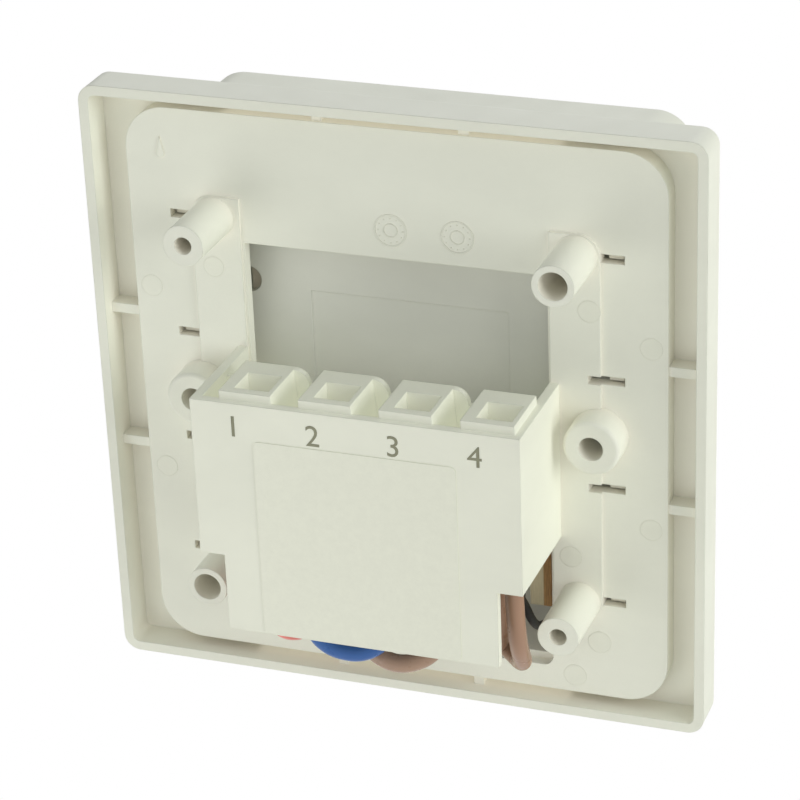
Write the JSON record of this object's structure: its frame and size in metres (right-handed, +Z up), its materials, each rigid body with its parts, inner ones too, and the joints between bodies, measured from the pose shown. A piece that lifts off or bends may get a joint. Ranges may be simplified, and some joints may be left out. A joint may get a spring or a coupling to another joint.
{
  "type": "timer switch",
  "caption": "Square wall timer switch: plate with a raised case, clear lift-up flap over a 24-hour tappet dial, and a rear box with square terminal wells and internal leads.",
  "frame": {"origin": "centre of the square plate, in the plane of its rear rim that lies on the wall", "axes": "+X right seen from the front, +Y into the wall, +Z up"},
  "size_m": [0.092, 0.0451, 0.092],
  "materials": {
    "ivory_plastic": "satin",
    "box_plastic": "satin",
    "grey_plastic": "satin",
    "clear_plastic": "polished",
    "white_plastic": "satin",
    "dial_plastic": "satin",
    "tappet_plastic": "satin",
    "black_plastic": "satin",
    "red_plastic": "polished",
    "phenolic": "matte",
    "paper": "matte",
    "brass": "satin",
    "copper": "satin",
    "steel": "brushed",
    "lamp_glass": "polished",
    "brown_pvc": "satin",
    "black_pvc": "satin",
    "blue_pvc": "satin",
    "tan_pvc": "satin",
    "red_pvc": "satin"
  },
  "bodies": {
    "housing": {"back_plate": "ivory_plastic", "front_case": "ivory_plastic", "fascia": "ivory_plastic", "screw_wells": "ivory_plastic", "terminal_box": "box_plastic", "rating_label": "paper", "terminal_bars": "brass", "terminal_springs": "steel", "box_screws": "steel", "movement_cover": "grey_plastic", "cover_screws": "steel", "movement_plate": "steel", "movement_posts": "steel", "plate_screws": "steel", "motor_can": "steel", "motor_coil": "copper", "motor_tags": "brass", "motor_screws": "steel", "idler_arbor": "steel", "dial_arbor": "steel", "dial_clip": "steel", "switch_body": "black_plastic", "switch_blade": "brass", "switch_contacts": "brass", "switch_tabs": "brass", "switch_screws": "steel", "lever_pin": "steel", "indicator_lens": "red_plastic", "neon_lamp": "lamp_glass", "link_board": "phenolic", "lead_brown_outer": "brown_pvc", "lead_brown_inner": "brown_pvc", "lead_black": "black_pvc", "lead_blue": "blue_pvc", "lead_tan": "tan_pvc", "lead_red": "red_pvc"},
    "gear_drive": {"dial_gear": "white_plastic"},
    "dial_unit": {"dial": "dial_plastic", "dial_knob": "white_plastic", "clutch_washer": "steel"},
    "idler": {"idler_gear": "white_plastic"},
    "output_pinion": {"motor_pinion": "brass"},
    "rotor": {"motor_rotor": "steel"},
    "lever": {"reader_lever": "white_plastic"},
    "plunger": {"switch_plunger": "red_plastic"},
    "slider": {"mode_slider": "grey_plastic"},
    "flap": {"flap_cover": "clear_plastic", "flap_pins": "steel"},
    "tappet_group_01": {"tappets_01": "tappet_plastic"},
    "tappet_group_02": {"tappets_02": "tappet_plastic"},
    "tappet_group_03": {"tappets_03": "tappet_plastic"},
    "tappet_group_04": {"tappets_04": "tappet_plastic"},
    "tappet_group_05": {"tappets_05": "tappet_plastic"},
    "tappet_group_06": {"tappets_06": "tappet_plastic"},
    "tappet_group_07": {"tappets_07": "tappet_plastic"},
    "tappet_group_08": {"tappets_08": "tappet_plastic"},
    "tappet_group_09": {"tappets_09": "tappet_plastic"},
    "tappet_group_10": {"tappets_10": "tappet_plastic"},
    "tappet_group_11": {"tappets_11": "tappet_plastic"},
    "tappet_group_12": {"tappets_12": "tappet_plastic"}
  },
  "joints": [
    {"name": "gear_drive_spin", "type": "hinge", "parent": "housing", "child": "gear_drive", "pos_m": [0, -0.0183, 0], "axis": [0, 1, 0], "continuous": true},
    {"name": "dial_slip", "type": "hinge", "parent": "gear_drive", "child": "dial_unit", "pos_m": [0, -0.021, 0], "axis": [0, 1, 0], "continuous": true},
    {"name": "idler_spin", "type": "hinge", "parent": "housing", "child": "idler", "pos_m": [0.0081, -0.017, 0.01403], "axis": [0, 1, 0], "continuous": true},
    {"name": "output_spin", "type": "hinge", "parent": "housing", "child": "output_pinion", "pos_m": [-0.00099, -0.016, 0.00878], "axis": [0, 1, 0], "continuous": true},
    {"name": "rotor_spin", "type": "hinge", "parent": "housing", "child": "rotor", "pos_m": [-0.00099, -0.0117, 0.00378], "axis": [0, 1, 0], "continuous": true},
    {"name": "lever_tilt", "type": "hinge", "parent": "housing", "child": "lever", "pos_m": [0, -0.018, -0.0355], "axis": [-1, 0, 0], "range_deg": [0, 7]},
    {"name": "plunger_push", "type": "slide", "parent": "housing", "child": "plunger", "axis": [0, 1, 0], "range_m": [0, 0.00095]},
    {"name": "mode_slide", "type": "slide", "parent": "housing", "child": "slider", "axis": [1, 0, 0], "range_m": [-0.004, 0.004]},
    {"name": "flap_lift", "type": "hinge", "parent": "housing", "child": "flap", "pos_m": [0, -0.0264, 0.0352], "axis": [-1, 0, 0], "range_deg": [0, 100]},
    {"name": "tappet_push_01", "type": "slide", "parent": "dial_unit", "child": "tappet_group_01", "axis": [0, 1, 0], "range_m": [0, 0.0015]},
    {"name": "tappet_push_02", "type": "slide", "parent": "dial_unit", "child": "tappet_group_02", "axis": [0, 1, 0], "range_m": [0, 0.0015]},
    {"name": "tappet_push_03", "type": "slide", "parent": "dial_unit", "child": "tappet_group_03", "axis": [0, 1, 0], "range_m": [0, 0.0015]},
    {"name": "tappet_push_04", "type": "slide", "parent": "dial_unit", "child": "tappet_group_04", "axis": [0, 1, 0], "range_m": [0, 0.0015]},
    {"name": "tappet_push_05", "type": "slide", "parent": "dial_unit", "child": "tappet_group_05", "axis": [0, 1, 0], "range_m": [0, 0.0015]},
    {"name": "tappet_push_06", "type": "slide", "parent": "dial_unit", "child": "tappet_group_06", "axis": [0, 1, 0], "range_m": [0, 0.0015]},
    {"name": "tappet_push_07", "type": "slide", "parent": "dial_unit", "child": "tappet_group_07", "axis": [0, 1, 0], "range_m": [0, 0.0015]},
    {"name": "tappet_push_08", "type": "slide", "parent": "dial_unit", "child": "tappet_group_08", "axis": [0, 1, 0], "range_m": [0, 0.0015]},
    {"name": "tappet_push_09", "type": "slide", "parent": "dial_unit", "child": "tappet_group_09", "axis": [0, 1, 0], "range_m": [0, 0.0015]},
    {"name": "tappet_push_10", "type": "slide", "parent": "dial_unit", "child": "tappet_group_10", "axis": [0, 1, 0], "range_m": [0, 0.0015]},
    {"name": "tappet_push_11", "type": "slide", "parent": "dial_unit", "child": "tappet_group_11", "axis": [0, 1, 0], "range_m": [0, 0.0015]},
    {"name": "tappet_push_12", "type": "slide", "parent": "dial_unit", "child": "tappet_group_12", "axis": [0, 1, 0], "range_m": [0, 0.0015]}
  ],
  "couplings": [
    {"joint": "idler_spin", "follows": "gear_drive_spin", "ratio": -8},
    {"joint": "output_spin", "follows": "gear_drive_spin", "ratio": 48},
    {"joint": "lever_tilt", "follows": "tappet_push_01", "rad_per_m": 80},
    {"joint": "plunger_push", "follows": "tappet_push_01", "ratio": 0.6}
  ]
}
